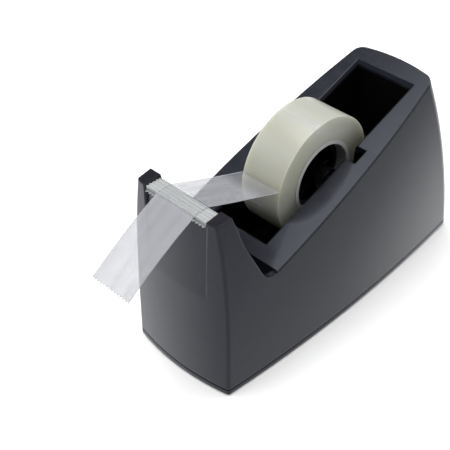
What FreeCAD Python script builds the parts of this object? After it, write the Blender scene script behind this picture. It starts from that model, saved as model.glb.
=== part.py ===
"""Weighted desk tape dispenser, with a roll of clear tape on its hub.

Millimetres, +Z up. The blade end faces -Y and the tall end faces +Y. The origin is the centre of the
rest face under the non-slip pad. Every piece is written to parts/NODE.step.
"""
import FreeCAD, Part
import math
import os

V = FreeCAD.Vector

# Housing envelope: bowed walls that lean in towards the top
BODY_LENGTH = 144.0        # front face to rear face at the base, on the centre line
BODY_HALF_WIDTH = 25.8     # at the base, where the sides bow out furthest
SIDE_WIDEST_Y = -0.09 * BODY_LENGTH
SIDE_BOW = 0.178 * BODY_HALF_WIDTH    # how far a side comes in, one bow span away from its widest place
SIDE_BOW_SPAN = 0.55 * BODY_LENGTH
SIDE_LEAN = 0.2326 * BODY_HALF_WIDTH    # how far a side leans in at the lean height
SIDE_LEAN_HEIGHT = 84.0
SIDE_LEAN_POWER = 3.4
FRONT_BOW = 4.2            # how far an end wall falls back at the end bow span from the centre line
REAR_BOW = 5.7
END_BOW_SPAN = 1.1 * BODY_HALF_WIDTH
REAR_LEAN = 32.0           # how far the rear wall leans forward at the rear lean height
REAR_LEAN_HEIGHT = 105.0
REAR_LEAN_POWER = 1.25
FRONT_CORNER = 0.9         # length of the wall that each rounded corner takes up
REAR_CORNER = 3.2
SHARPEST_CORNER = 0.5      # share of a corner that is left on the innermost surfaces
WALL = 2.2                 # shell wall thickness
FRONT_Y = -BODY_LENGTH / 2
REAR_Y = BODY_LENGTH / 2

# Sloping deck
DECK_HEIGHT = 63.7         # height of the deck's plane over the origin
DECK_SLOPE = 0.37          # rise per unit of length towards the rear
DECK_FRONT_Y = FRONT_Y + 26.1
DECK_EDGE = 0.8            # thickness of the deck lip that rests on the shell's rim
DECK_EDGE_INSET = 0.1      # the lip stands this far inside the shell's outer face
DECK_THICKNESS = 2.2       # thickness of the deck inside the walls
DECK_WALL = 1.8            # thickness of the deck moulding's walls below the deck
SEAM_GAP = 0.35            # height of the groove that shows as a seam between two mouldings
FOOT_SEAM_GAP = 0.6        # the same, between the shell and the base plate
SEAM_DEPTH = 0.7
FIT_GAP = 0.15             # clearance of a moulding that locates inside another
SLOPE_ANGLE = math.atan(DECK_SLOPE)

# Roll of tape
ROLL_RADIUS = 24.5
CORE_OUTER_RADIUS = 15.1
CORE_INNER_RADIUS = 13.5
CORE_OVERHANG = 0.1        # the core stands this far out of the winding on each side
WINDING_GAP = 0.03

# Well opening and axle slot
OPENING_HALF = 0.492 * BODY_HALF_WIDTH
OPENING_FRONT_Y = FRONT_Y + 32.7
OPENING_REAR_Y = REAR_Y - 31.8
OPENING_LENGTH = OPENING_REAR_Y - OPENING_FRONT_Y
OPENING_LIP = 1.0          # width of the chamfered lip round the opening
TAPE_WIDTH = 0.709 * 2 * OPENING_HALF
ROLL_ROOM = OPENING_LENGTH - 2 * ROLL_RADIUS    # spare length of the opening round a full roll
AXLE_Y = OPENING_FRONT_Y + ROLL_RADIUS + 0.326 * ROLL_ROOM
AXLE_DROP = 4.5            # axle's centre below the deck
AXLE_Z = DECK_HEIGHT + DECK_SLOPE * AXLE_Y - AXLE_DROP
AXLE_RADIUS = 2.6
AXLE_END_GAP = 0.5         # axle end to the side of its notch
SLOT_GAP = 0.3             # clearance round the axle in its slot
SLOT_TRAVEL = 0.335 * ROLL_ROOM / math.cos(SLOPE_ANGLE)    # from the seat back to the entry, up the slope
NOTCH_HALF_WIDTH = OPENING_HALF + 5.2
NOTCH_LENGTH = 2 * (AXLE_RADIUS + SLOT_GAP) + 0.8
CRADLE_WALL = 1.6
CRADLE_FLOOR_Z = AXLE_Z - ROLL_RADIUS - 5.9
CRADLE_CORNER = 12.0       # radius between the cradle's rear wall and its floor
CRADLE_FRONT_CORNER = 4.0

# Front post: the valley behind it, its front panel and the blade holder
POST_TOP = 75.0
EAR_REAR_Y = FRONT_Y + 9.1    # rear edge of the post's sides, at its top
POST_BACK_Y = FRONT_Y + 9.5    # rear face of the deck insert's wall behind the post, at its top
VALLEY_KNEE_Y = FRONT_Y + 12.0
VALLEY_KNEE_Z = POST_TOP - 10.5
VALLEY_KNEE_RADIUS = 25.0
VALLEY_FLOOR_Y = FRONT_Y + 20.8
VALLEY_RADIUS = 6.0
EAR_TILT = (VALLEY_KNEE_Y - EAR_REAR_Y) / (POST_TOP - VALLEY_KNEE_Z)
POCKET_FLOOR_Z = 34.0      # floor of the pocket between the post and the deck's front edge
POCKET_BACK_TILT = 0.2     # set-back of the pocket's rear wall from the valley's knee, per unit of radius
POCKET_BACK_RADIUS = 4.0
POCKET_FRONT_RADIUS = 3.0
POCKET_FRONT_DRAFT = 1.4   # the deck's front wall comes forward by this much on its way down
BLADE_HALF = 0.55 * BODY_HALF_WIDTH
PANEL_HALF = BLADE_HALF + 0.2    # recessed front panel, as wide as the gap between the post's ears
PANEL_DEPTH = 1.4
PANEL_RUNOUT = 0.3         # the recess starts this far outside the wall, so that it fades in
PANEL_EDGE_SHARE = 0.57    # share of the recess's depth, at its top, that the bevel along each side takes
PANEL_EDGE_SLOPE = 0.5     # depth of that bevel per unit of its width
PANEL_EDGE_START = 0.1     # width of the recess's sides at its foot
PANEL_FOOT_Z = 36.0
PANEL_SECTIONS = 5
CAP_FRONT_Z = POST_TOP + 1.7    # top of the holder's end caps at their front
CAP_REAR_Z = POST_TOP + 2.7
CAP_THICKNESS = 0.6        # of the caps where they cover the shell's ears
HOLDER_PLUG_DEPTH = 9.0

# Blade and ribbed platform
BLADE_FRONT_Y = FRONT_Y + 0.5
BLADE_DEPTH = 6.0
BLADE_THICKNESS = 0.5
TOOTH_PITCH = 1.42
TOOTH_DEPTH = 0.9
PLATFORM_FRONT_Y = FRONT_Y + 1.7
PLATFORM_REAR_Y = FRONT_Y + 7.8
PLATFORM_THICKNESS = 1.2
RIB_COUNT = 4
RIB_GROOVE = 0.38          # radius of the rounded grooves between the ribs
RIB_GROOVE_LIFT = 0.06     # their centres lie this far above the platform's top
PEG_X = 4.5
PEG_Y = FRONT_Y + 5.65
PEG_RADIUS = 1.1
PEG_LENGTH = 4.0
PEG_ROOT = 0.5             # how far a peg runs into the platform
PEG_GAP = 0.05
PEG_HOLE_SPARE = 0.5
BLADE_Z = POST_TOP
PLATFORM_Z = BLADE_Z + BLADE_THICKNESS
PLATFORM_TOP = PLATFORM_Z + PLATFORM_THICKNESS

# Base
PAD_THICKNESS = 0.8
PAD_INSET = 1.4
BASE_RIM = 1.9             # visible thickness of the base plate's rim
BASE_PLATEAU = 1.9         # raised middle of the base plate, inside the shell
RIM_TOP = PAD_THICKNESS + BASE_RIM
PLATEAU_TOP = RIM_TOP + BASE_PLATEAU

# Screws
SCREW_RADIUS = 1.5
SCREW_HEAD_RADIUS = 2.9
SCREW_HEAD_HEIGHT = 1.5
SCREW_HOLE_GAP = 0.25      # clearance hole, on the radius
HEAD_RECESS = 0.2          # a head in the base lies this far above the pad
PILOT_SPARE = 1.0          # a screw's hole is this much deeper than the screw
DRIVE_SHARE = 0.4          # reach of the cross recess, as a share of the head's radius
DRIVE_DEPTH = 0.9
BOSS_RADIUS = 3.4
BOSS_HEIGHT = 14.0
BOSS_ROOT = 0.6            # how far a boss runs into the side wall
BASE_SCREW_LENGTH = 10.0
BASE_SCREW_Y = (FRONT_Y + 12.0, REAR_Y - 15.0)
BALLAST_SCREW_Y = (FRONT_Y + 14.0, FRONT_Y + 42.0, REAR_Y - 38.0)
BALLAST_SCREW_LENGTH = 9.0
CRADLE_SCREW_Y = (OPENING_FRONT_Y + 0.142 * OPENING_LENGTH, OPENING_FRONT_Y + 0.721 * OPENING_LENGTH)
CRADLE_SCREW_X = OPENING_HALF + 0.15 * BODY_HALF_WIDTH
CRADLE_BOSS_RADIUS = 2.1
SMALL_SCREW_RADIUS = 1.0
SMALL_HEAD_RADIUS = 2.0
CRADLE_SCREW_LENGTH = 7.0
CRADLE_BOSS_DROP = 8.0     # the deck's bosses reach this far below its top
HOLDER_SCREW_X = BLADE_HALF - 3.7
HOLDER_SCREW_Z = POST_TOP - 5.0
HOLDER_SCREW_LENGTH = 4.6
HOLDER_SCREW_SPARE = 0.6
HOLDER_SCREW_SINK = 0.5    # head seat to the rear face of the wall, at the wall's top

# Ballast castings
SLAB_HALF_WIDTH = 0.62 * BODY_HALF_WIDTH
SLAB_FRONT_Y = FRONT_Y + 27.0
SLAB_REAR_Y = REAR_Y - 25.0
SLAB_HEADROOM = 2.8        # slab to the cradle above it
SLAB_HEIGHT = CRADLE_FLOOR_Z - CRADLE_WALL - SLAB_HEADROOM - PLATEAU_TOP
BLOCK_FRONT_Y = FRONT_Y + 5.5
BLOCK_REAR_Y = FRONT_Y + 22.0
BLOCK_HEIGHT = 25.0
BLOCK_SIDE_GAP = 0.6       # block to the bosses beside it
BALLAST_CHAMFER = 1.2

# Snap tabs that hold the deck in the shell
TAB_Y = (OPENING_FRONT_Y + 0.343 * OPENING_LENGTH, OPENING_FRONT_Y + 0.872 * OPENING_LENGTH)
TAB_WIDTH = 6.0
TAB_LENGTH = 7.0
TAB_THICKNESS = 1.4
TAB_HOOK = 0.7
TAB_HOOK_HEIGHT = 1.6
TAB_ROOT = 0.1             # how far a hook runs into its tab
TAB_POCKET_GAP = 0.2
TAB_POCKET_REACH = 1.0     # the pocket's tool starts this far inside the wall

# Hub
HUB_GAP = 0.1              # hub rim to the core's bore
HUB_RIM = 2.0
HUB_HALF_WIDTH = 4.4
HUB_WEB = 1.2              # thickness of each half's web
HUB_BOSS_RADIUS = AXLE_RADIUS + 2.2
HUB_SIDE_GAP = 0.5         # boss end to the cradle's wall
HUB_RUNNING_GAP = 0.06     # hub bore round the axle
HUB_RIBS = 6
HUB_RIB_THICKNESS = 1.2
HUB_RIB_DROP = 0.9         # ribs stop this far short of the rim's face

# Free end of the tape
FILM_THICKNESS = 0.12
FILM_CLEARANCE = 0.3       # film to the winding
FILM_LIFT = 0.02           # film to the platform under it
FILM_TOOTH_GAP = 0.15      # film to the blade's teeth, in front of them
FILM_TOOTH_LIFT = 0.1      # and above them
PEEL_ANGLE = 166.0         # where the film leaves the roll, from +Y over the top
TAIL_LENGTH = 34.0         # beyond the blade
TAIL_SLOPE = 32.0          # degrees below level
TAIL_SAG = 1.0

# Sizes of cutting tools
FAR = 2 * BODY_LENGTH      # well past the housing on every side
PAST = 1.0                 # a tool runs past the faces that it opens by this much
BODY_TOP = max(DECK_HEIGHT + DECK_SLOPE * REAR_Y, CAP_REAR_Z + PAST)    # the envelope is drawn to here
LOFT_STEP = 11.0           # greatest height between two sections of the envelope


# ---- helpers -------------------------------------------------------------------------------------

def block(x0, x1, y0, y1, z0, z1):
    return Part.makeBox(x1 - x0, y1 - y0, z1 - z0, V(x0, y0, z0))


def rod_z(x, y, z0, z1, radius):
    return Part.makeCylinder(radius, z1 - z0, V(x, y, z0), V(0, 0, 1))


def rod_x(x0, x1, y, z, radius):
    return Part.makeCylinder(radius, x1 - x0, V(x0, y, z), V(1, 0, 0))


def rod_y(start, length, radius):
    """Cylinder along Y from a point, towards -Y where the length is negative."""
    return Part.makeCylinder(radius, abs(length), start, V(0, math.copysign(1, length), 0))


def profile(corners):
    """Closed wire in the YZ plane through (y, z) or (y, z, radius) corners."""
    edges = []
    count = len(corners)
    starts = []
    ends = []
    for i, corner in enumerate(corners):
        here = V(0, corner[0], corner[1])
        before = V(0, corners[i - 1][0], corners[i - 1][1])
        after = V(0, corners[(i + 1) % count][0], corners[(i + 1) % count][1])
        radius = corner[2] if len(corner) > 2 else 0.0
        if radius == 0.0:
            starts.append(here)
            ends.append(here)
            continue
        back = (before - here).normalize()
        on = (after - here).normalize()
        half_angle = math.acos(max(-1.0, min(1.0, back.dot(on)))) / 2
        reach = radius / math.tan(half_angle)
        middle = (back + on).normalize() * (radius / math.sin(half_angle) - radius)
        starts.append(here + back * reach)
        ends.append(here + on * reach)
        edges.append(Part.Arc(starts[i], here + middle, ends[i]).toShape())
    for i in range(count):
        if ends[i].distanceToPoint(starts[(i + 1) % count]) > 1e-6:
            edges.append(Part.LineSegment(ends[i], starts[(i + 1) % count]).toShape())
    return Part.Wire(Part.__sortEdges__(edges))


def prism(corners, half, x0=None):
    """Profile carried along X, from x0 or -half to +half."""
    start = -half if x0 is None else x0
    face = Part.Face(profile(corners))
    face.translate(V(start, 0, 0))
    return face.extrude(V(half - start, 0, 0))


def mirrored(shape):
    return shape.mirror(V(0, 0, 0), V(1, 0, 0))


def both_sides(shape):
    return [shape, mirrored(shape)]


def joined(shapes):
    return shapes[0].multiFuse(shapes[1:]).removeSplitter()


def deck_z(y, drop=0.0):
    """Height of the deck's plane, or of a parallel plane that lies drop below it."""
    return DECK_HEIGHT + DECK_SLOPE * y - drop / math.cos(SLOPE_ANGLE)


# ---- housing envelope ----------------------------------------------------------------------------

def side_x(y, z, inset=0.0):
    lean = SIDE_LEAN * (max(z, 0.0) / SIDE_LEAN_HEIGHT) ** SIDE_LEAN_POWER
    bow = SIDE_BOW * ((y - SIDE_WIDEST_Y) / SIDE_BOW_SPAN) ** 2
    return BODY_HALF_WIDTH - lean - bow - inset


def front_y(x, z, inset=0.0):
    return FRONT_Y + FRONT_BOW * (x / END_BOW_SPAN) ** 2 + inset


def rear_y(x, z, inset=0.0):
    lean = REAR_LEAN * (max(z, 0.0) / REAR_LEAN_HEIGHT) ** REAR_LEAN_POWER
    return REAR_Y - lean - REAR_BOW * (x / END_BOW_SPAN) ** 2 - inset


def wall_corner(end_y, z, inset):
    """Where a side wall meets an end wall, found by stepping from one curve to the other."""
    x = BODY_HALF_WIDTH
    for _ in range(12):
        y = end_y(x, z, inset)
        x = side_x(y, z, inset)
    return x, y


def corner_arc(start, corner, end):
    """Arc from start to end that is tangent to the lines that meet at the corner."""
    middle = (start + end) * 0.5
    rise = corner - middle
    half_chord = start.distanceToPoint(end) / 2
    sagitta = half_chord * math.tan(math.atan(rise.Length / half_chord) / 2)
    return Part.Arc(start, middle + rise.normalize() * sagitta, end).toShape()


def plan_section(z, inset):
    """Outline of the housing at one height: four bowed walls and four rounded corners."""
    fx, fy = wall_corner(front_y, z, inset)
    rx, ry = wall_corner(rear_y, z, inset)
    front_cut = max(FRONT_CORNER - inset, FRONT_CORNER * SHARPEST_CORNER)
    rear_cut = max(REAR_CORNER - inset, REAR_CORNER * SHARPEST_CORNER)
    front_end = V(fx - front_cut, front_y(fx - front_cut, z, inset), z)
    side_start = V(side_x(fy + front_cut, z, inset), fy + front_cut, z)
    side_end = V(side_x(ry - rear_cut, z, inset), ry - rear_cut, z)
    rear_start = V(rx - rear_cut, rear_y(rx - rear_cut, z, inset), z)
    side_mid_y = (side_start.y + side_end.y) / 2
    side_mid = V(side_x(side_mid_y, z, inset), side_mid_y, z)

    def other(p):
        return V(-p.x, p.y, p.z)

    edges = [
        Part.Arc(other(front_end), V(0, front_y(0, z, inset), z), front_end).toShape(),
        corner_arc(front_end, V(fx, fy, z), side_start),
        Part.Arc(side_start, side_mid, side_end).toShape(),
        corner_arc(side_end, V(rx, ry, z), rear_start),
        Part.Arc(rear_start, V(0, rear_y(0, z, inset), z), other(rear_start)).toShape(),
        corner_arc(other(rear_start), V(-rx, ry, z), other(side_end)),
        Part.Arc(other(side_end), other(side_mid), other(side_start)).toShape(),
        corner_arc(other(side_start), V(-fx, fy, z), other(front_end)),
    ]
    return Part.Wire(edges)


def envelope(inset, z0, z1):
    """Solid of the housing between two heights, its walls moved in by the inset."""
    steps = max(2, math.ceil((z1 - z0) / LOFT_STEP))
    heights = [z0 + (z1 - z0) * i / steps for i in range(steps + 1)]
    return Part.makeLoft([plan_section(z, inset) for z in heights], True, False)


def under_deck(drop, y0, y1, depth, half=BODY_LENGTH):
    """Slab parallel to the deck: its top lies drop below the deck's plane."""
    low = drop + depth
    corners = [(y0, deck_z(y0, drop)), (y1, deck_z(y1, drop)), (y1, deck_z(y1, low)), (y0, deck_z(y0, low))]
    return prism(corners, half)


# ---- fasteners -----------------------------------------------------------------------------------

def screw(length, radius=SCREW_RADIUS, head_radius=SCREW_HEAD_RADIUS):
    """Pan-head screw along +Z with its head below z = 0 and a cross recess in the head."""
    body = Part.makeCylinder(radius, length - radius)
    tip = Part.makeCone(radius, radius / 3, radius, V(0, 0, length - radius))
    head = Part.makeCylinder(head_radius, SCREW_HEAD_HEIGHT, V(0, 0, -SCREW_HEAD_HEIGHT))
    rim = [edge for edge in head.Edges if edge.BoundBox.ZMax < -SCREW_HEAD_HEIGHT / 2]
    head = head.makeChamfer(SCREW_HEAD_HEIGHT / 3, rim)
    reach = head_radius * DRIVE_SHARE
    half = reach / 4
    bottom = -SCREW_HEAD_HEIGHT
    cross = block(-reach, reach, -half, half, bottom, bottom + DRIVE_DEPTH)
    cross = cross.fuse(block(-half, half, -reach, reach, bottom, bottom + DRIVE_DEPTH))
    return joined([body, tip, head]).cut(cross)


def placed(shape, position, direction=V(0, 0, 1)):
    copy = shape.copy()
    copy.Placement = FreeCAD.Placement(position, FreeCAD.Rotation(V(0, 0, 1), direction))
    return copy


def boss_x(y):
    """Centre of a screw boss that grows out of the side wall."""
    return side_x(y, RIM_TOP, WALL) - BOSS_RADIUS + BOSS_ROOT


def head_seat_z():
    """Height of the seats of the screw heads in the base plate."""
    return PAD_THICKNESS + HEAD_RECESS + SCREW_HEAD_HEIGHT


def base_screw_places():
    return [V(side * boss_x(y), y, head_seat_z()) for y in BASE_SCREW_Y for side in (-1, 1)]


def ballast_screw_places():
    return [V(0, y, head_seat_z()) for y in BALLAST_SCREW_Y]


def cradle_screw_places():
    flange_low = CRADLE_BOSS_DROP + CRADLE_WALL
    return [V(side * CRADLE_SCREW_X, y, deck_z(y, flange_low)) for y in CRADLE_SCREW_Y for side in (-1, 1)]


def deck_normal():
    return V(0, -math.sin(SLOPE_ANGLE), math.cos(SLOPE_ANGLE))


# ---- base ----------------------------------------------------------------------------------------

def non_slip_pad():
    return envelope(PAD_INSET, 0.0, PAD_THICKNESS)


def base_plate():
    rim = envelope(0.0, PAD_THICKNESS, RIM_TOP)
    plateau = envelope(WALL + FIT_GAP, RIM_TOP - BASE_RIM / 2, PLATEAU_TOP)
    plate = rim.fuse(plateau).removeSplitter()
    for place in base_screw_places():
        relief = rod_z(place.x, place.y, RIM_TOP, PLATEAU_TOP + PAST, BOSS_RADIUS + FIT_GAP)
        plate = plate.cut(relief)
    for place in base_screw_places() + ballast_screw_places():
        plate = plate.cut(rod_z(place.x, place.y, 0, PLATEAU_TOP + PAST, SCREW_RADIUS + SCREW_HOLE_GAP))
        plate = plate.cut(rod_z(place.x, place.y, 0, place.z, SCREW_HEAD_RADIUS + SCREW_HOLE_GAP))
    return plate


def base_screws():
    return Part.makeCompound([placed(screw(BASE_SCREW_LENGTH), place) for place in base_screw_places()])


def ballast_screws():
    return Part.makeCompound([placed(screw(BALLAST_SCREW_LENGTH), place) for place in ballast_screw_places()])


def casting(half, y0, y1, height):
    """Cast ballast block on the base plate, with a tapped hole for each screw under it."""
    body = block(-half, half, y0, y1, PLATEAU_TOP, PLATEAU_TOP + height)
    body = body.makeChamfer(BALLAST_CHAMFER, body.Edges)
    for place in ballast_screw_places():
        if y0 < place.y < y1:
            top = place.z + BALLAST_SCREW_LENGTH + PILOT_SPARE
            body = body.cut(rod_z(place.x, place.y, 0, top, SCREW_RADIUS))
    return body


def ballast_slab():
    return casting(SLAB_HALF_WIDTH, SLAB_FRONT_Y, SLAB_REAR_Y, SLAB_HEIGHT)


def ballast_block():
    half = boss_x(BASE_SCREW_Y[0]) - BOSS_RADIUS - BLOCK_SIDE_GAP
    return casting(half, BLOCK_FRONT_Y, BLOCK_REAR_Y, BLOCK_HEIGHT)


# ---- housing -------------------------------------------------------------------------------------

def ear_rear(z):
    """Rear edge of the post's sides at a height near its top."""
    return EAR_REAR_Y - EAR_TILT * (z - POST_TOP)


def above_rim():
    """Everything above the shell's edge: the open top of the post, the valley and the deck's seat."""
    high = 2 * BODY_TOP + DECK_SLOPE * FAR
    rim_front = deck_z(DECK_FRONT_Y, DECK_EDGE)
    ear_front_z = CAP_FRONT_Z - CAP_THICKNESS
    ear_rear_z = CAP_REAR_Z - CAP_THICKNESS
    corners = [
        (-FAR, high),
        (-FAR, ear_front_z),
        (FRONT_Y, ear_front_z),
        (ear_rear(ear_rear_z), ear_rear_z),
        (VALLEY_KNEE_Y, VALLEY_KNEE_Z, VALLEY_KNEE_RADIUS),
        (VALLEY_FLOOR_Y, rim_front, VALLEY_RADIUS),
        (DECK_FRONT_Y, rim_front),
        (FAR, deck_z(FAR, DECK_EDGE)),
        (FAR, high),
    ]
    between_ears = block(-PANEL_HALF, PANEL_HALF, -FAR, VALLEY_KNEE_Y, POST_TOP, high)
    return prism(corners, FAR).fuse(between_ears)


def panel_recess():
    """Tool for the front panel with bevelled sides: it follows the bowed front and fades out downwards."""
    sections = []
    top = CAP_REAR_Z + PAST
    for i in range(PANEL_SECTIONS):
        share = i / (PANEL_SECTIONS - 1)
        z = PANEL_FOOT_Z + (top - PANEL_FOOT_Z) * share
        depth = (PANEL_DEPTH + PANEL_RUNOUT) * share - PANEL_RUNOUT
        side = front_y(PANEL_HALF, z) + depth
        edge = side - (1 - PANEL_EDGE_SHARE) * (depth + PANEL_RUNOUT + PANEL_EDGE_START)
        wide = BODY_HALF_WIDTH
        edge_out = edge - PANEL_EDGE_SLOPE * (wide - PANEL_HALF)
        out_y = FRONT_Y - BODY_HALF_WIDTH
        right = [V(PANEL_HALF, side, z), V(PANEL_HALF, edge, z), V(wide, edge_out, z), V(wide, out_y, z)]
        left = [V(-point.x, point.y, z) for point in right]
        points = right + left[::-1]
        edges = [Part.Arc(left[0], V(0, front_y(0, z) + depth, z), right[0]).toShape()]
        for start, end in zip(points, points[1:]):
            edges.append(Part.LineSegment(start, end).toShape())
        sections.append(Part.Wire(edges))
    return Part.makeLoft(sections, True, False)


def tab_frame(y):
    """Outer face of a snap tab at y, and the height of its lower end."""
    low = deck_z(y, DECK_THICKNESS) - TAB_LENGTH
    x = min(side_x(y - TAB_WIDTH, deck_z(y), WALL), side_x(y + TAB_WIDTH, deck_z(y), WALL)) - FIT_GAP
    return x, low


def snap_pockets():
    """Pockets in the walls that the deck's tabs hook into."""
    tools = []
    for y in TAB_Y:
        x, low = tab_frame(y)
        gap = TAB_POCKET_GAP
        half = TAB_WIDTH / 2 + gap
        tool = block(x - TAB_POCKET_REACH, x + TAB_HOOK + gap, y - half, y + half, low - gap,
                     low + TAB_HOOK_HEIGHT + gap)
        tools += both_sides(tool)
    return tools


def shell_bosses():
    bosses = []
    for place in base_screw_places():
        boss = rod_z(place.x, place.y, RIM_TOP, RIM_TOP + BOSS_HEIGHT, BOSS_RADIUS)
        bosses.append(boss)
    return bosses


def panel_backing():
    """Extra wall behind the recessed front panel."""
    layer = envelope(WALL / 2, PANEL_FOOT_Z, POST_TOP)
    layer = layer.cut(envelope(WALL + PANEL_DEPTH, PANEL_FOOT_Z, POST_TOP))
    return layer.common(block(-PANEL_HALF, PANEL_HALF, -FAR, VALLEY_KNEE_Y, PANEL_FOOT_Z, POST_TOP))


def outer_shell():
    solid = envelope(0.0, RIM_TOP, BODY_TOP)
    hollow = envelope(WALL, RIM_TOP - PAST, BODY_TOP + PAST)
    walls = solid.cut(hollow)
    shell = walls.multiFuse([boss.common(solid) for boss in shell_bosses()] + [panel_backing()])
    shell = shell.cut(above_rim())
    shell = shell.cut(panel_recess())
    band = solid.cut(envelope(SEAM_DEPTH, RIM_TOP - PAST, BODY_TOP + PAST))
    foot_seam = band.common(block(-FAR, FAR, -FAR, FAR, 0, RIM_TOP + FOOT_SEAM_GAP))
    deck_seam = band.common(under_deck(DECK_EDGE, DECK_FRONT_Y - PAST, FAR, SEAM_GAP))
    shell = shell.cut(foot_seam).cut(deck_seam)
    for place in base_screw_places():
        shell = shell.cut(rod_z(place.x, place.y, 0, place.z + BASE_SCREW_LENGTH + PILOT_SPARE, SCREW_RADIUS))
    for pocket in snap_pockets():
        shell = shell.cut(pocket)
    return shell.removeSplitter()


# ---- deck insert ---------------------------------------------------------------------------------

def deck_plate():
    """Deck with a thin lip on the shell's rim and a thicker middle that drops between the walls."""
    lip = envelope(DECK_EDGE_INSET, RIM_TOP, BODY_TOP).common(under_deck(0.0, DECK_FRONT_Y, FAR, DECK_EDGE))
    middle = envelope(WALL + FIT_GAP, RIM_TOP, BODY_TOP)
    middle = middle.common(under_deck(DECK_EDGE / 2, DECK_FRONT_Y, FAR, DECK_THICKNESS - DECK_EDGE / 2))
    return lip.fuse(middle)


def pocket_walls():
    """Deck's front wall, the pocket's floor and the post's rear wall, as one folded strip."""
    floor = POCKET_FLOOR_Z
    back_y = VALLEY_KNEE_Y + DECK_WALL + POCKET_BACK_TILT * POCKET_BACK_RADIUS / 2
    front_y_low = DECK_FRONT_Y - POCKET_FRONT_DRAFT
    strip = [
        (DECK_FRONT_Y, deck_z(DECK_FRONT_Y, DECK_EDGE / 2)),
        (front_y_low, floor, POCKET_FRONT_RADIUS),
        (back_y, floor, POCKET_BACK_RADIUS),
        (POST_BACK_Y, POST_TOP),
        (POST_BACK_Y - DECK_WALL, POST_TOP),
        (back_y - DECK_WALL, floor - DECK_WALL, POCKET_BACK_RADIUS + DECK_WALL),
        (front_y_low + DECK_WALL, floor - DECK_WALL, POCKET_FRONT_RADIUS + DECK_WALL),
        (DECK_FRONT_Y + DECK_WALL, deck_z(DECK_FRONT_Y + DECK_WALL, DECK_EDGE / 2)),
    ]
    return prism(strip, FAR).common(envelope(WALL + FIT_GAP, RIM_TOP, BODY_TOP))


def entry_notch():
    """Notches that the axle drops through, one on each side of the opening."""
    y = AXLE_Y + SLOT_TRAVEL * math.cos(SLOPE_ANGLE)
    half = NOTCH_LENGTH / 2
    return block(-NOTCH_HALF_WIDTH, NOTCH_HALF_WIDTH, y - half, y + half, 0, 2 * BODY_TOP)


def opening_tool():
    """Through-cut of the opening, with its chamfered lip."""
    hole = block(-OPENING_HALF, OPENING_HALF, OPENING_FRONT_Y, OPENING_REAR_Y, 0, 2 * BODY_TOP)
    wide = OPENING_HALF + OPENING_LIP
    y0 = OPENING_FRONT_Y - OPENING_LIP
    y1 = OPENING_REAR_Y + OPENING_LIP

    def ring(half, low, high, drop):
        points = [V(-half, low, deck_z(low, drop)), V(half, low, deck_z(low, drop)),
                  V(half, high, deck_z(high, drop)), V(-half, high, deck_z(high, drop))]
        return Part.makePolygon(points + points[:1])

    outer = ring(wide, y0, y1, 0.0)
    inner = ring(OPENING_HALF, OPENING_FRONT_Y, OPENING_REAR_Y, OPENING_LIP)
    return hole.fuse(Part.makeLoft([outer, inner], True, True))


def snap_tabs():
    tabs = []
    for y in TAB_Y:
        x, low = tab_frame(y)
        half = TAB_WIDTH / 2
        arm = block(x - TAB_THICKNESS, x, y - half, y + half, low, deck_z(y - half, DECK_THICKNESS / 2))
        hook = block(x - TAB_ROOT, x + TAB_HOOK, y - half, y + half, low, low + TAB_HOOK_HEIGHT)
        tabs += both_sides(arm.fuse(hook))
    return tabs


def cradle_bosses():
    """Bosses under the deck that the cradle is screwed to, each with its bore."""
    bosses = []
    height = CRADLE_BOSS_DROP - DECK_THICKNESS / 2
    for place in cradle_screw_places():
        seat = place + deck_normal() * CRADLE_WALL
        boss = placed(Part.makeCylinder(CRADLE_BOSS_RADIUS, height), seat, deck_normal())
        bore = placed(Part.makeCylinder(SMALL_SCREW_RADIUS, CRADLE_SCREW_LENGTH), seat, deck_normal())
        bosses.append((boss, bore))
    return bosses


def holder_screw_places():
    """Seats of the screw heads, sunk into the post's rear wall."""
    return [V(side * HOLDER_SCREW_X, POST_BACK_Y - HOLDER_SCREW_SINK, HOLDER_SCREW_Z) for side in (-1, 1)]


def deck_insert():
    bosses = cradle_bosses()
    deck = deck_plate().multiFuse([pocket_walls()] + snap_tabs() + [boss for boss, bore in bosses])
    deck = deck.cut(opening_tool())
    deck = deck.cut(entry_notch())
    deck = deck.cut(slot_tool())
    for boss, bore in bosses:
        deck = deck.cut(bore)
    for place in holder_screw_places():
        deck = deck.cut(rod_y(place, -2 * DECK_WALL, SCREW_RADIUS + SCREW_HOLE_GAP))
        deck = deck.cut(rod_y(place, 2 * DECK_WALL, SCREW_HEAD_RADIUS + SCREW_HOLE_GAP))
    return deck.removeSplitter()


# ---- roll cradle ---------------------------------------------------------------------------------

def cradle_outline(grow):
    """Side view of the well, from its open top down to its floor."""
    front = OPENING_FRONT_Y - grow
    rear = OPENING_REAR_Y + grow
    floor = CRADLE_FLOOR_Z - grow
    drop = DECK_THICKNESS
    return [(front, deck_z(front, drop)), (front, floor, CRADLE_FRONT_CORNER + grow),
            (rear, floor, CRADLE_CORNER + grow), (rear, deck_z(rear, drop))]


def slot_tool():
    """Slot from the axle's seat to the entry, and the entry itself."""
    radius = AXLE_RADIUS + SLOT_GAP
    run = V(0, math.cos(SLOPE_ANGLE), math.sin(SLOPE_ANGLE)) * SLOT_TRAVEL
    seat = V(-NOTCH_HALF_WIDTH, AXLE_Y, AXLE_Z)
    entry = seat + run
    reach = 2 * NOTCH_HALF_WIDTH
    round_ends = [rod_x(-NOTCH_HALF_WIDTH, NOTCH_HALF_WIDTH, p.y, p.z, radius) for p in (seat, entry)]
    side = deck_normal() * radius
    path = Part.Face(Part.makePolygon([seat + side, seat - side, entry - side, entry + side, seat + side]))
    channel = path.extrude(V(reach, 0, 0))
    entry_cut = block(-NOTCH_HALF_WIDTH, NOTCH_HALF_WIDTH, entry.y - radius, entry.y + radius, entry.z,
                      2 * BODY_TOP)
    return joined(round_ends + [channel, entry_cut])


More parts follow.
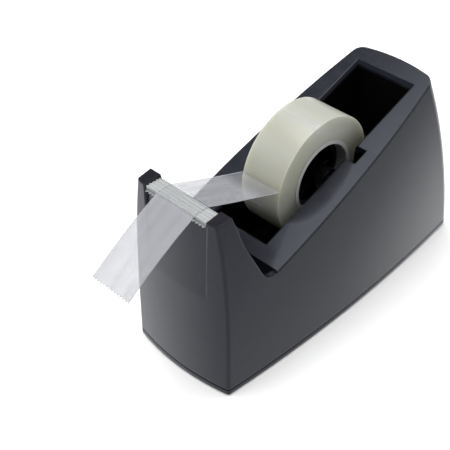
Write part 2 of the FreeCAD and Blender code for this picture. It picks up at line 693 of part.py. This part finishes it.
def roll_cradle():
    """Black tub under the deck: side cheeks with the axle's slots, end walls, floor and a screw flange."""
    outer = prism(cradle_outline(CRADLE_WALL), OPENING_HALF + CRADLE_WALL)
    inner = prism(cradle_outline(0.0), OPENING_HALF)
    ears = []
    for place in cradle_screw_places():
        side = 1 if place.x > 0 else -1
        radius = CRADLE_BOSS_RADIUS
        seat = placed(Part.makeCylinder(radius, CRADLE_WALL), place, deck_normal())
        link = under_deck(CRADLE_BOSS_DROP, place.y - radius, place.y + radius, CRADLE_WALL, abs(place.x))
        own_side = block(min(0, side * FAR), max(0, side * FAR), -FAR, FAR, 0, 2 * BODY_TOP)
        ears += [seat, link.common(own_side)]
    top = under_deck(-BODY_TOP, -BODY_LENGTH, BODY_LENGTH, BODY_TOP + DECK_THICKNESS)
    cradle = outer.multiFuse(ears).cut(inner)
    cradle = cradle.cut(top).cut(slot_tool())
    for place in cradle_screw_places():
        hole = Part.makeCylinder(SMALL_SCREW_RADIUS + SCREW_HOLE_GAP, 4 * CRADLE_WALL)
        cradle = cradle.cut(placed(hole, place - deck_normal() * CRADLE_WALL, deck_normal()))
    return cradle.removeSplitter()


def cradle_screws():
    one = screw(CRADLE_SCREW_LENGTH, SMALL_SCREW_RADIUS, SMALL_HEAD_RADIUS)
    return Part.makeCompound([placed(one, place, deck_normal()) for place in cradle_screw_places()])


# ---- blade holder, blade and platform ------------------------------------------------------------

def cap_prism(front_low, rear_low):
    """Right end cap down to two heights, before it is trimmed to the housing."""
    return prism([(FRONT_Y, front_low), (ear_rear(rear_low), rear_low), (ear_rear(CAP_REAR_Z), CAP_REAR_Z),
                  (FRONT_Y, CAP_FRONT_Z)], BODY_HALF_WIDTH, x0=PANEL_HALF)


def blade_holder():
    """Plug in the top of the post, with a cap over each of the shell's ears."""
    room = envelope(WALL + FIT_GAP, RIM_TOP, BODY_TOP)
    rear = POST_BACK_Y - DECK_WALL - FIT_GAP
    panel_inner = front_y(PANEL_HALF, 0, WALL) + PANEL_DEPTH + FIT_GAP
    plug = room.common(block(-FAR, FAR, panel_inner, rear, POST_TOP - HOLDER_PLUG_DEPTH, POST_TOP))
    core = cap_prism(POST_TOP, POST_TOP).common(room)
    cover = cap_prism(CAP_FRONT_Z - CAP_THICKNESS, CAP_REAR_Z - CAP_THICKNESS)
    cover = cover.common(envelope(0.0, RIM_TOP, BODY_TOP)).cut(panel_recess())
    holder = plug.multiFuse(both_sides(core) + both_sides(cover))
    for side in (-1, 1):
        low = POST_TOP - PEG_LENGTH - PEG_HOLE_SPARE
        holder = holder.cut(rod_z(side * PEG_X, PEG_Y, low, POST_TOP + PAST, PEG_RADIUS + PEG_GAP))
    for place in holder_screw_places():
        holder = holder.cut(rod_y(place, -HOLDER_SCREW_LENGTH - HOLDER_SCREW_SPARE, SCREW_RADIUS))
    return holder.removeSplitter()


def holder_screws():
    one = screw(HOLDER_SCREW_LENGTH)
    return Part.makeCompound([placed(one, place, V(0, -1, 0)) for place in holder_screw_places()])


def cutting_blade():
    """Flat steel strip with a row of teeth along its front edge."""
    rear = BLADE_FRONT_Y + BLADE_DEPTH
    count = int(2 * BLADE_HALF / TOOTH_PITCH)
    pitch = 2 * BLADE_HALF / count
    points = [V(BLADE_HALF, rear, BLADE_Z), V(-BLADE_HALF, rear, BLADE_Z)]
    for i in range(count):
        x = -BLADE_HALF + i * pitch
        points.append(V(x, BLADE_FRONT_Y + TOOTH_DEPTH, BLADE_Z))
        points.append(V(x + pitch / 2, BLADE_FRONT_Y, BLADE_Z))
    points.append(V(BLADE_HALF, BLADE_FRONT_Y + TOOTH_DEPTH, BLADE_Z))
    strip = Part.Face(Part.makePolygon(points + points[:1])).extrude(V(0, 0, BLADE_THICKNESS))
    for side in (-1, 1):
        strip = strip.cut(rod_z(side * PEG_X, PEG_Y, 0, PLATFORM_TOP, PEG_RADIUS + PEG_GAP))
    return strip


def tape_platform():
    """Ribbed strip over the blade that the film lies on, with two pegs down into the holder."""
    depth = PLATFORM_REAR_Y - PLATFORM_FRONT_Y
    bar = block(-BLADE_HALF, BLADE_HALF, PLATFORM_FRONT_Y, PLATFORM_REAR_Y, PLATFORM_Z, PLATFORM_TOP)
    pitch = depth / RIB_COUNT
    for i in range(RIB_COUNT):
        y = PLATFORM_FRONT_Y + pitch * (i + 0.5)
        centre_z = PLATFORM_TOP + RIB_GROOVE_LIFT
        groove = rod_x(-BLADE_HALF - PAST, BLADE_HALF + PAST, y, centre_z, RIB_GROOVE)
        bar = bar.cut(groove)
    low = POST_TOP - PEG_LENGTH
    pegs = [rod_z(side * PEG_X, PEG_Y, low, PLATFORM_Z + PEG_ROOT, PEG_RADIUS) for side in (-1, 1)]
    return bar.multiFuse(pegs).removeSplitter()


# ---- hub and roll --------------------------------------------------------------------------------

def axle_pin():
    half = NOTCH_HALF_WIDTH - AXLE_END_GAP
    pin = rod_x(-half, half, AXLE_Y, AXLE_Z, AXLE_RADIUS)
    return pin.makeChamfer(AXLE_RADIUS / 5, [e for e in pin.Edges if isinstance(e.Curve, Part.Circle)])


def hub_half():
    """Right half of the hub: rim, web, boss and ribs, open at the side."""
    rim_outer = CORE_INNER_RADIUS - HUB_GAP
    rim_inner = rim_outer - HUB_RIM
    boss_end = OPENING_HALF - HUB_SIDE_GAP
    rim = rod_x(0, HUB_HALF_WIDTH, AXLE_Y, AXLE_Z, rim_outer)
    rim = rim.cut(rod_x(-PAST, HUB_HALF_WIDTH + PAST, AXLE_Y, AXLE_Z, rim_inner))
    web = rod_x(0, HUB_WEB, AXLE_Y, AXLE_Z, rim_inner + HUB_RIM / 2)
    boss = rod_x(0, boss_end, AXLE_Y, AXLE_Z, HUB_BOSS_RADIUS)
    ribs = []
    for i in range(HUB_RIBS):
        rib = block(0, HUB_HALF_WIDTH - HUB_RIB_DROP, HUB_BOSS_RADIUS / 2, rim_inner + HUB_RIM / 2,
                    -HUB_RIB_THICKNESS / 2, HUB_RIB_THICKNESS / 2)
        rib.rotate(V(0, 0, 0), V(1, 0, 0), 360.0 * i / HUB_RIBS)
        rib.translate(V(0, AXLE_Y, AXLE_Z))
        ribs.append(rib)
    half = joined([rim, web, boss] + ribs)
    return half.cut(rod_x(-PAST, boss_end + PAST, AXLE_Y, AXLE_Z, AXLE_RADIUS + HUB_RUNNING_GAP))


def hub_right():
    return hub_half()


def hub_left():
    return mirrored(hub_half())


def ring_x(half, outer, inner):
    bore = rod_x(-half - PAST, half + PAST, AXLE_Y, AXLE_Z, inner)
    return rod_x(-half, half, AXLE_Y, AXLE_Z, outer).cut(bore)


def tape_core():
    return ring_x(TAPE_WIDTH / 2 + CORE_OVERHANG, CORE_OUTER_RADIUS, CORE_INNER_RADIUS)


def tape_winding():
    return ring_x(TAPE_WIDTH / 2, ROLL_RADIUS, CORE_OUTER_RADIUS + WINDING_GAP)


def tape_lead():
    """Free end of the tape: off the roll, up to the platform, over the blade, and out beyond it."""
    angle = math.radians(PEEL_ANGLE)
    reach = ROLL_RADIUS + FILM_CLEARANCE
    peel = (AXLE_Y + reach * math.cos(angle), AXLE_Z + reach * math.sin(angle))
    top = PLATFORM_TOP + FILM_LIFT
    slope = math.radians(TAIL_SLOPE)
    lip = (BLADE_FRONT_Y - FILM_TOOTH_GAP, PLATFORM_Z + FILM_TOOTH_LIFT)
    tip = (lip[0] - TAIL_LENGTH * math.cos(slope), lip[1] - TAIL_LENGTH * math.sin(slope))
    middle = ((lip[0] + tip[0]) / 2, (lip[1] + tip[1]) / 2 + TAIL_SAG)
    rear = (PLATFORM_REAR_Y, top)
    front = (PLATFORM_FRONT_Y, top)

    def at(point, lift):
        return V(-TAPE_WIDTH / 2, point[0], point[1] + lift)

    def line(start, end, lift):
        return Part.LineSegment(at(start, lift), at(end, lift)).toShape()

    def face(lift):
        tail = Part.Arc(at(lip, lift), at(middle, lift), at(tip, lift)).toShape()
        return [line(peel, rear, lift), line(rear, front, lift), line(front, lip, lift), tail]

    def end(point):
        return Part.LineSegment(at(point, 0), at(point, FILM_THICKNESS)).toShape()

    outline = face(0) + [end(tip)] + face(FILM_THICKNESS)[::-1] + [end(peel)]
    return Part.Face(Part.Wire(Part.__sortEdges__(outline))).extrude(V(TAPE_WIDTH, 0, 0))


PIECES = {
    "outer_shell": outer_shell,
    "deck_insert": deck_insert,
    "roll_cradle": roll_cradle,
    "base_plate": base_plate,
    "non_slip_pad": non_slip_pad,
    "ballast_slab": ballast_slab,
    "ballast_block": ballast_block,
    "base_screws": base_screws,
    "ballast_screws": ballast_screws,
    "cradle_screws": cradle_screws,
    "holder_screws": holder_screws,
    "blade_holder": blade_holder,
    "cutting_blade": cutting_blade,
    "tape_platform": tape_platform,
    "axle_pin": axle_pin,
    "hub_left": hub_left,
    "hub_right": hub_right,
    "tape_core": tape_core,
    "tape_winding": tape_winding,
    "tape_lead": tape_lead,
}

os.makedirs("parts", exist_ok=True)
for name, make in PIECES.items():
    shape = make()
    shape.exportStep("parts/" + name + ".step")
    print(name, len(shape.Solids), round(shape.Volume / 1000, 2), shape.isValid())
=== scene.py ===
"""Weighted desk tape dispenser with a roll of clear tape: looks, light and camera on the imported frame."""
import math
import random

import bpy
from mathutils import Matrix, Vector


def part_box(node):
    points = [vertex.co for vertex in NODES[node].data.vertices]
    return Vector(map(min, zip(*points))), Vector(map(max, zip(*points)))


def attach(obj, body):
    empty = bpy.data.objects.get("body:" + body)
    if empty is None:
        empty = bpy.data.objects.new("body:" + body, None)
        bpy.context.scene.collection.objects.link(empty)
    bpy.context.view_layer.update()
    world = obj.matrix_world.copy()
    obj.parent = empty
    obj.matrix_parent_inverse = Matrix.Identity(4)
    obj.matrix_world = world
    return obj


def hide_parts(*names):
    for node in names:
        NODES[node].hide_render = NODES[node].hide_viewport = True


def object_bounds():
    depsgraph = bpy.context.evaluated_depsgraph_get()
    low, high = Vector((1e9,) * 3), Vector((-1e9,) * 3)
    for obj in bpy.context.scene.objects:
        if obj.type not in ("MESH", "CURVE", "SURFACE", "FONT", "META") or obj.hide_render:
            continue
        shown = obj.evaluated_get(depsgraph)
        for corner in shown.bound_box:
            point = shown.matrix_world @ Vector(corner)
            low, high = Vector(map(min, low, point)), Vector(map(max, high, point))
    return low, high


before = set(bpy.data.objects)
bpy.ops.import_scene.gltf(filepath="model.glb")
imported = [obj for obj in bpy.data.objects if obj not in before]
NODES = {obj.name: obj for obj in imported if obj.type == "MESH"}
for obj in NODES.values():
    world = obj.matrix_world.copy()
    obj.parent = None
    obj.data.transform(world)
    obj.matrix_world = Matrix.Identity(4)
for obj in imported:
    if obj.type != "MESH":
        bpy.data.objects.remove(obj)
cad_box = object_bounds()
MM = 0.001
scene = bpy.context.scene


# ---- camera ---------------------------------------------------------------------------------------

CAMERA_AZIMUTH = 44.5       # degrees from -Y towards +X
CAMERA_ELEVATION = 39.32
CAMERA_AIM = Vector((-9.2, -37.8, 43.4)) * MM
CAMERA_DISTANCE = 390.6 * MM
CAMERA_LENS = 84.55
SENSOR_WIDTH = 36.0


def direction(azimuth, elevation):
    """Unit vector towards an azimuth (degrees from -Y towards +X) and an elevation."""
    a = math.radians(azimuth)
    e = math.radians(elevation)
    return Vector((math.sin(a) * math.cos(e), -math.cos(a) * math.cos(e), math.sin(e)))


def add_camera():
    data = bpy.data.cameras.new("camera")
    data.lens = CAMERA_LENS
    data.sensor_width = SENSOR_WIDTH
    data.clip_start = 0.01
    data.clip_end = 200.0
    camera = bpy.data.objects.new("camera", data)
    scene.collection.objects.link(camera)
    back = direction(CAMERA_AZIMUTH, CAMERA_ELEVATION)
    camera.location = CAMERA_AIM + back * CAMERA_DISTANCE
    camera.rotation_euler = back.to_track_quat("Z", "Y").to_euler()
    scene.camera = camera


# ---- node helpers ---------------------------------------------------------------------------------

def link(nt, source, target):
    nt.links.new(source, target)


def math_node(nt, operation, a, b):
    node = nt.nodes.new("ShaderNodeMath")
    node.operation = operation
    for socket, value in zip(node.inputs, (a, b)):
        if isinstance(value, (int, float)):
            socket.default_value = value
        else:
            link(nt, value, socket)
    return node.outputs[0]


def value_range(nt, fac, low, high, from_low=0.3, from_high=0.7, smooth=False):
    node = nt.nodes.new("ShaderNodeMapRange")
    if smooth:
        node.interpolation_type = "SMOOTHSTEP"
    node.inputs["From Min"].default_value = from_low
    node.inputs["From Max"].default_value = from_high
    node.inputs["To Min"].default_value = low
    node.inputs["To Max"].default_value = high
    link(nt, fac, node.inputs["Value"])
    return node.outputs["Result"]


# ---- studio ---------------------------------------------------------------------------------------

# Soft boxes: azimuth, elevation, radius in degrees where it is full, radius where it ends, radiance
SOFT_BOXES = (
    (-90.0, 89.9, 28.3, 31.5, 3.0),      # overhead: its edge lies between the deck's strips
    (0.0, -89.9, 62.0, 96.0, 0.52),      # the paper below, as the walls mirror it
    (-92.0, -30.0, 10.0, 64.0, 0.70),    # brightens the far side of the front
    (193.0, -30.0, 6.0, 43.0, 1.05),     # brightens the rear of the side
)
AMBIENT = 0.10
BACKDROP = 1.0
LAMP_DISTANCE = 1.6
OVERHEAD = (-70, 75, 1.0, 8.0)    # azimuth, elevation, diameter, power
DOME = ((-110, 5.5), (-30, 6.5), (80, 2.5), (150, 2.0))    # azimuth and power of the lamps round the part
DOME_ELEVATION = 35
DOME_SIZE = 1.2
FLOOR_HALF = 40.0
FLOOR_GLOW = 0.20


def add_world():
    """Dim surroundings with soft boxes, and a plain white backdrop for the camera."""
    world = bpy.data.worlds.new("studio")
    scene.world = world
    world.use_nodes = True
    nt = world.node_tree
    towards = nt.nodes.new("ShaderNodeTexCoord").outputs["Generated"]
    total = AMBIENT
    for azimuth, elevation, full, end, radiance in SOFT_BOXES:
        dot = nt.nodes.new("ShaderNodeVectorMath")
        dot.operation = "DOT_PRODUCT"
        dot.inputs[1].default_value = direction(azimuth, elevation)
        link(nt, towards, dot.inputs[0])
        lobe = value_range(nt, dot.outputs["Value"], 0.0, radiance, math.cos(math.radians(end)),
                           math.cos(math.radians(full)), True)
        total = math_node(nt, "ADD", lobe, total)
    rays = nt.nodes.new("ShaderNodeLightPath")
    seen = math_node(nt, "MAXIMUM", rays.outputs["Is Camera Ray"], rays.outputs["Is Transmission Ray"])
    mix = nt.nodes.new("ShaderNodeMix")
    link(nt, seen, mix.inputs["Factor"])
    link(nt, total, mix.inputs["A"])
    mix.inputs["B"].default_value = BACKDROP
    background = nt.nodes["Background"]
    background.inputs["Color"].default_value = (1.0, 1.0, 1.0, 1.0)
    link(nt, mix.outputs["Result"], background.inputs["Strength"])


def add_lamp(name, azimuth, elevation, size, power):
    """Round lamp aimed at the part, left out of its reflections."""
    data = bpy.data.lights.new(name, "AREA")
    data.shape = "DISK"
    data.size = size
    data.energy = power
    lamp = bpy.data.objects.new(name, data)
    lamp.visible_glossy = False
    scene.collection.objects.link(lamp)
    towards = direction(azimuth, elevation)
    lamp.location = (cad_box[0] + cad_box[1]) / 2 + towards * LAMP_DISTANCE
    lamp.rotation_euler = towards.to_track_quat("Z", "Y").to_euler()


def add_floor():
    """White sweep that glows a little, so that only the contact shadows show on it."""
    half = FLOOR_HALF
    corners = [(-half, -half, 0), (half, -half, 0), (half, half, 0), (-half, half, 0)]
    mesh = bpy.data.meshes.new("floor")
    mesh.from_pydata(corners, [], [(0, 1, 2, 3)])
    floor = bpy.data.objects.new("floor", mesh)
    scene.collection.objects.link(floor)
    floor.location.z = cad_box[0].z
    mat, nt, bsdf = new_material("floor_paper")
    bsdf.inputs["Base Color"].default_value = (0.9, 0.9, 0.9, 1)
    bsdf.inputs["Roughness"].default_value = 0.9
    bsdf.inputs["Specular IOR Level"].default_value = 0.1
    bsdf.inputs["Emission Color"].default_value = (1, 1, 1, 1)
    bsdf.inputs["Emission Strength"].default_value = FLOOR_GLOW
    mesh.materials.append(mat)
    floor.visible_glossy = False


# ---- materials ------------------------------------------------------------------------------------

def new_material(name):
    mat = bpy.data.materials.new(name)
    mat.use_nodes = True
    nt = mat.node_tree
    return mat, nt, nt.nodes["Principled BSDF"]


def noise(nt, scale, detail=3.0, roughness=0.5, stretch=(1.0, 1.0, 1.0)):
    """Noise in the object's own metres, so a scale of 1000 gives features about a millimetre across."""
    coord = nt.nodes.new("ShaderNodeTexCoord")
    mapping = nt.nodes.new("ShaderNodeMapping")
    mapping.inputs["Scale"].default_value = stretch
    tex = nt.nodes.new("ShaderNodeTexNoise")
    tex.inputs["Scale"].default_value = scale
    tex.inputs["Detail"].default_value = detail
    tex.inputs["Roughness"].default_value = roughness
    link(nt, coord.outputs["Object"], mapping.inputs["Vector"])
    link(nt, mapping.outputs["Vector"], tex.inputs["Vector"])
    return tex.outputs["Fac"]


def ramp(nt, fac, stops):
    """Colour ramp through (position, colour) stops."""
    node = nt.nodes.new("ShaderNodeValToRGB")
    elements = node.color_ramp.elements
    elements[0].position, elements[0].color = stops[0]
    elements[1].position, elements[1].color = stops[-1]
    for position, colour in stops[1:-1]:
        element = elements.new(position)
        element.color = colour
    link(nt, fac, node.inputs["Fac"])
    return node.outputs["Color"]


def bump(nt, bsdf, height, strength, distance, edge=0.0):
    """Relief from a height; with an edge radius, hard edges are shaded as if they were rounded."""
    node = nt.nodes.new("ShaderNodeBump")
    if edge > 0.0:
        rounded = nt.nodes.new("ShaderNodeBevel")
        rounded.samples = 6
        rounded.inputs["Radius"].default_value = edge
        link(nt, rounded.outputs["Normal"], node.inputs["Normal"])
    node.inputs["Strength"].default_value = strength
    node.inputs["Distance"].default_value = distance
    link(nt, height, node.inputs["Height"])
    link(nt, node.outputs["Normal"], bsdf.inputs["Normal"])


def grey(level, tint=(1.0, 1.0, 1.0)):
    return (level * tint[0], level * tint[1], level * tint[2], 1.0)


def moulded(name, level, tint, rough, grain=2600.0, grain_strength=0.10, clouds=45.0, spread=0.10,
            edge=0.0):
    """Moulded plastic: a fine spark-eroded grain, faint cloudiness in colour and in gloss."""
    mat, nt, bsdf = new_material(name)
    dark = grey(level * (1 - spread), tint)
    light = grey(level * (1 + spread), tint)
    link(nt, ramp(nt, noise(nt, clouds, 4.0, 0.6), [(0.3, dark), (0.7, light)]), bsdf.inputs["Base Color"])
    patches = noise(nt, clouds * 5, 3.0, 0.55)
    link(nt, value_range(nt, patches, rough - 0.03, rough + 0.03), bsdf.inputs["Roughness"])
    bump(nt, bsdf, noise(nt, grain, 2.0, 0.6), grain_strength, 0.00006, edge)
    return mat, nt, bsdf


def metal(name, colour, rough, brush=(1.0, 1.0, 1.0), grain=900.0, strength=0.12):
    """Metal with fine marks along one direction."""
    mat, nt, bsdf = new_material(name)
    bsdf.inputs["Metallic"].default_value = 1.0
    marks = noise(nt, grain, 4.0, 0.6, brush)
    low = tuple(c * 0.85 for c in colour) + (1.0,)
    high = tuple(colour) + (1.0,)
    link(nt, ramp(nt, marks, [(0.3, low), (0.65, high)]), bsdf.inputs["Base Color"])
    link(nt, value_range(nt, marks, rough - 0.08, rough + 0.08), bsdf.inputs["Roughness"])
    bump(nt, bsdf, marks, strength, 0.00005)
    return mat, nt, bsdf


def ribbed_metal():
    """Satin anodised strip, finely lined along its ribs."""
    mat, nt, bsdf = metal("platform_look", (0.55, 0.57, 0.57), 0.36, (0.02, 1.0, 1.0), 2500.0, 0.0)
    bsdf.inputs["Metallic"].default_value = 0.35
    return mat


CHARCOAL = (0.86, 0.94, 1.40)    # tints of the base colour's level
PURPLE_BLACK = (1.0, 0.95, 1.4)
WARM_IRON = (1.0, 0.94, 0.88)
NEUTRAL = (1.0, 1.0, 1.0)
COOL_SHINE = (0.84, 0.89, 1.0, 1.0)


def housing_plastic():
    mat, nt, bsdf = moulded("housing_plastic_look", 0.012, CHARCOAL, 0.19, edge=0.45 * MM)
    bsdf.inputs["Specular Tint"].default_value = COOL_SHINE
    bsdf.inputs["Specular IOR Level"].default_value = 0.55
    return mat


def black_plastic():
    mat, nt, bsdf = moulded("black_plastic_look", 0.012, PURPLE_BLACK, 0.24, edge=0.35 * MM)
    bsdf.inputs["Specular IOR Level"].default_value = 0.4
    return mat


def tub_plastic():
    mat, nt, bsdf = moulded("tub_plastic_look", 0.0015, NEUTRAL, 0.6)
    bsdf.inputs["Specular IOR Level"].default_value = 0.1
    return mat


def glossy_black():
    mat, nt, bsdf = moulded("glossy_black_look", 0.002, NEUTRAL, 0.12, 700.0, 0.03, edge=0.3 * MM)
    bsdf.inputs["Specular IOR Level"].default_value = 0.3
    return mat


def ballast_iron():
    mat, nt, bsdf = moulded("ballast_iron_look", 0.09, WARM_IRON, 0.62, 500.0, 0.6, 120.0, 0.35)
    bsdf.inputs["Metallic"].default_value = 0.6
    return mat


def pad_foam():
    return moulded("pad_foam_look", 0.02, NEUTRAL, 0.85, 1800.0, 0.9, 80.0, 0.15)[0]


def core_plastic():
    mat, nt, bsdf = moulded("core_plastic_look", 0.50, (1.0, 1.0, 0.99), 0.38, 1500.0, 0.03, 60.0, 0.02)
    bsdf.inputs["Subsurface Weight"].default_value = 0.25
    bsdf.inputs["Subsurface Radius"].default_value = (0.002, 0.002, 0.002)
    return mat


def tape_wound():
    """Many layers of clear film: milky, a little yellow, with soft bands round the roll."""
    mat, nt, bsdf = new_material("tape_wound_look")
    bands = noise(nt, 40.0, 2.0, 0.5, (0.1, 1.0, 1.0))
    colour = ramp(nt, bands, [(0.35, (0.43, 0.43, 0.35, 1)), (0.65, (0.48, 0.49, 0.455, 1))])
    link(nt, colour, bsdf.inputs["Base Color"])
    link(nt, value_range(nt, bands, 0.16, 0.30), bsdf.inputs["Roughness"])
    bsdf.inputs["Subsurface Weight"].default_value = 0.6
    bsdf.inputs["Subsurface Radius"].default_value = (0.006, 0.006, 0.0045)
    bsdf.inputs["Subsurface Scale"].default_value = 1.0
    bump(nt, bsdf, noise(nt, 3000.0, 1.0, 0.4, (0.0, 1.0, 1.0)), 0.02, 0.0001)
    return mat


def tape_film(half_width, bar, peel_y):
    """Clear film: hazy and streaked, with a painted highlight along its cut edges (a nearly opaque band
    there), clearest on the bar and before the roll.
    """
    mat, nt, bsdf = new_material("tape_film_look")
    streaks = noise(nt, 300.0, 3.0, 0.5, (1.0, 0.12, 0.12))
    split = nt.nodes.new("ShaderNodeSeparateXYZ")
    link(nt, nt.nodes.new("ShaderNodeTexCoord").outputs["Object"], split.inputs["Vector"])
    along = split.outputs["Y"]
    across = math_node(nt, "ABSOLUTE", split.outputs["X"], 0.0)
    # painted highlight: the film is made nearly opaque along its cut edges so that they read as bright
    # lines
    edge = value_range(nt, across, 0.0, 1.0, half_width - 0.45 * MM, half_width - 0.10 * MM)
    past_front = value_range(nt, along, 0.0, 1.0, bar[0] - 0.6 * MM, bar[0])
    before_rear = value_range(nt, along, 1.0, 0.0, bar[1], bar[1] + 0.8 * MM)
    lying = math_node(nt, "MULTIPLY", math_node(nt, "MULTIPLY", past_front, before_rear), 0.78)
    off_roll = value_range(nt, along, 1.0, 0.40, peel_y - 14 * MM, peel_y - 7 * MM)
    haze = value_range(nt, streaks, 0.44, 0.54)
    haze = math_node(nt, "MULTIPLY", haze, math_node(nt, "SUBTRACT", 1.0, lying))
    haze = math_node(nt, "MULTIPLY", haze, off_roll)
    alpha = math_node(nt, "MAXIMUM", haze, math_node(nt, "MULTIPLY", edge, 0.92))
    link(nt, alpha, bsdf.inputs["Alpha"])
    bsdf.inputs["Base Color"].default_value = (0.45, 0.46, 0.49, 1)
    link(nt, value_range(nt, streaks, 0.14, 0.22), bsdf.inputs["Roughness"])
    bump(nt, bsdf, streaks, 0.05, 0.0001)
    return mat


# ---- pieces made here -----------------------------------------------------------------------------

def add_mesh(name, points, faces, body, material):
    """Smooth-shaded piece that rides on a body."""
    mesh = bpy.data.meshes.new(name)
    mesh.from_pydata(points, [], faces)
    mesh.update()
    for polygon in mesh.polygons:
        polygon.use_smooth = True
    mesh.materials.append(material)
    piece = bpy.data.objects.new(name, mesh)
    scene.collection.objects.link(piece)
    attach(piece, body)
    return piece


def grid_faces(rows, columns, close_rows=False, close_columns=False):
    """Quads between rows of points, joined end to end where a direction is closed."""
    faces = []
    for i in range(rows if close_rows else rows - 1):
        for j in range(columns if close_columns else columns - 1):
            a = i * columns + j
            b = i * columns + (j + 1) % columns
            c = ((i + 1) % rows) * columns
            faces.append((a, b, c + (j + 1) % columns, c + j))
    return faces


ROLL_STEPS = 240
LAYERS = 36                 # rings that show on each side of the roll
RING_DEPTH = 0.05           # millimetres
EDGE_RING_DEPTH = 0.02
CORE_GAP = 0.03 * MM
ROLL_EDGE = 0.22 * MM       # radius of the winding's rounded edges
EDGE_TURNS = (0.26, 0.52, 0.79, 1.05, 1.31, 1.57)    # steps round a quarter turn, in radians


def wound_tape():
    """Lathed winding: crisp edges, fine uneven rings on both sides where the layers show."""
    low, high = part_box("tape_winding")
    core_low, core_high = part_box("tape_core")
    centre = (low + high) / 2
    half = (high.x - low.x) / 2
    outer = (high.z - low.z) / 2
    inner = (core_high.z - core_low.z) / 2 + CORE_GAP
    edge = ROLL_EDGE
    rng = random.Random(7)
    side = []
    for i in range(LAYERS + 1):
        radius = inner + (outer - edge - inner) * i / LAYERS
        depth = rng.uniform(0.0, RING_DEPTH) * MM if 0 < i < LAYERS else EDGE_RING_DEPTH * MM
        side.append((half - depth, radius))
    corner = [(half - edge * (1 - math.cos(t)), outer - edge * (1 - math.sin(t)))
              for t in EDGE_TURNS]
    right = side + corner
    section = right + [(-x, r) for x, r in reversed(right)]
    points = []
    for i in range(ROLL_STEPS):
        turn = 2 * math.pi * i / ROLL_STEPS
        for x, r in section:
            points.append((centre.x + x, centre.y + r * math.cos(turn), centre.z + r * math.sin(turn)))
    faces = grid_faces(ROLL_STEPS, len(section), True, True)
    piece = add_mesh("wound_tape", points, faces, "roll", tape_wound())
    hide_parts("tape_winding")


PEEL_ANGLE = 166.0          # where the film leaves the roll, from +Y over the top
FILM_THICKNESS = 0.05 * MM
ROLL_GAP = 0.08 * MM        # film to the winding, the bar and the blade's teeth
BAR_GAP = 0.02 * MM
TOOTH_GAP = 0.12 * MM
TIP_INSET = 0.05 * MM       # the free end stops this far inside its CAD box
SPAN_SAG = 0.25 * MM        # between the roll and the bar
TAIL_ARCH = 1.0 * MM        # rise of the free end at its middle
TOOTH_PITCH = 1.42 * MM
TEAR_DEPTH = 0.8 * MM       # depth of the teeth that the blade leaves in the film's end


def film_path():
    """Points of the film's middle layer in the YZ plane: roll, platform, blade, free end."""
    lead_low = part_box("tape_lead")[0]
    bar_low, bar_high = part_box("tape_platform")
    blade_low, blade_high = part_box("cutting_blade")
    roll_low, roll_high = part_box("tape_winding")
    centre = (roll_low + roll_high) / 2
    reach = (roll_high.z - roll_low.z) / 2 + ROLL_GAP
    angle = math.radians(PEEL_ANGLE)
    peel = Vector((0, centre.y + reach * math.cos(angle), centre.z + reach * math.sin(angle)))
    top = bar_high.z + BAR_GAP
    rear = Vector((0, bar_high.y, top))
    front = Vector((0, bar_low.y, top))
    lip = Vector((0, blade_low.y - TOOTH_GAP, blade_high.z + TOOTH_GAP))
    tip = Vector((0, lead_low.y + TIP_INSET, lead_low.z + TIP_INSET))
    path = []

    def run(start, end, count, rise=0.0):
        for i in range(count):
            t = i / count
            point = start.lerp(end, t)
            point.z += 4 * rise * t * (1 - t)
            path.append(point)

    run(peel, rear, 24, -SPAN_SAG)
    run(rear, front, 6)
    run(front, lip, 3)
    run(lip, tip, 28, TAIL_ARCH)
    path.append(tip)
    return path


def film():
    """Free film from the roll to its torn end, with a serrated last row."""
    low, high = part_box("tape_lead")
    bar_low, bar_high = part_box("tape_platform")
    half = (high.x - low.x) / 2
    middle = (high.x + low.x) / 2
    path = film_path()
    columns = 2 * round(2 * half / TOOTH_PITCH) + 1
    last = path[-1] - path[-2]
    last.normalize()
    points = []
    for i, point in enumerate(path):
        for j in range(columns):
            share = 2 * j / (columns - 1) - 1
            tear = last * (-TEAR_DEPTH if i == len(path) - 1 and j % 2 else 0.0)
            points.append((middle + share * half, point.y + tear.y, point.z + tear.z))
    faces = grid_faces(len(path), columns)
    material = tape_film(half, (bar_low.y, bar_high.y), path[0].y)
    piece = add_mesh("film", points, faces, "dispenser", material)
    thick = piece.modifiers.new("thick", "SOLIDIFY")
    thick.thickness = FILM_THICKNESS
    thick.offset = 0.0
    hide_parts("tape_lead")


# ---- CAD nodes ------------------------------------------------------------------------------------

def dress(node, material):
    """Gives a CAD node its material; its mesh stays as it is."""
    obj = NODES[node]
    obj.data.materials.clear()
    obj.data.materials.append(material)


add_camera()
add_world()
add_floor()
add_lamp("overhead", *OVERHEAD)
for index, (azimuth, power) in enumerate(DOME):
    add_lamp("dome_%d" % index, azimuth, DOME_ELEVATION, DOME_SIZE, power)

housing = housing_plastic()
black = black_plastic()
dress("outer_shell", housing)
dress("deck_insert", housing)
dress("roll_cradle", tub_plastic())
dress("base_plate", housing)
dress("non_slip_pad", pad_foam())
iron = ballast_iron()
dress("ballast_slab", iron)
dress("ballast_block", iron)
screw_steel = metal("screw_steel_look", (0.62, 0.62, 0.64), 0.3)[0]
for name in ("base_screws", "ballast_screws", "cradle_screws", "holder_screws"):
    dress(name, screw_steel)
dress("blade_holder", black)
dress("cutting_blade", metal("blade_steel_look", (0.75, 0.75, 0.78), 0.22, (1.0, 30.0, 30.0))[0])
dress("tape_platform", ribbed_metal())
dress("axle_pin", black)
gloss = glossy_black()
dress("hub_left", gloss)
dress("hub_right", gloss)
dress("tape_core", core_plastic())
wound_tape()
film()

scene.view_settings.view_transform = "Standard"
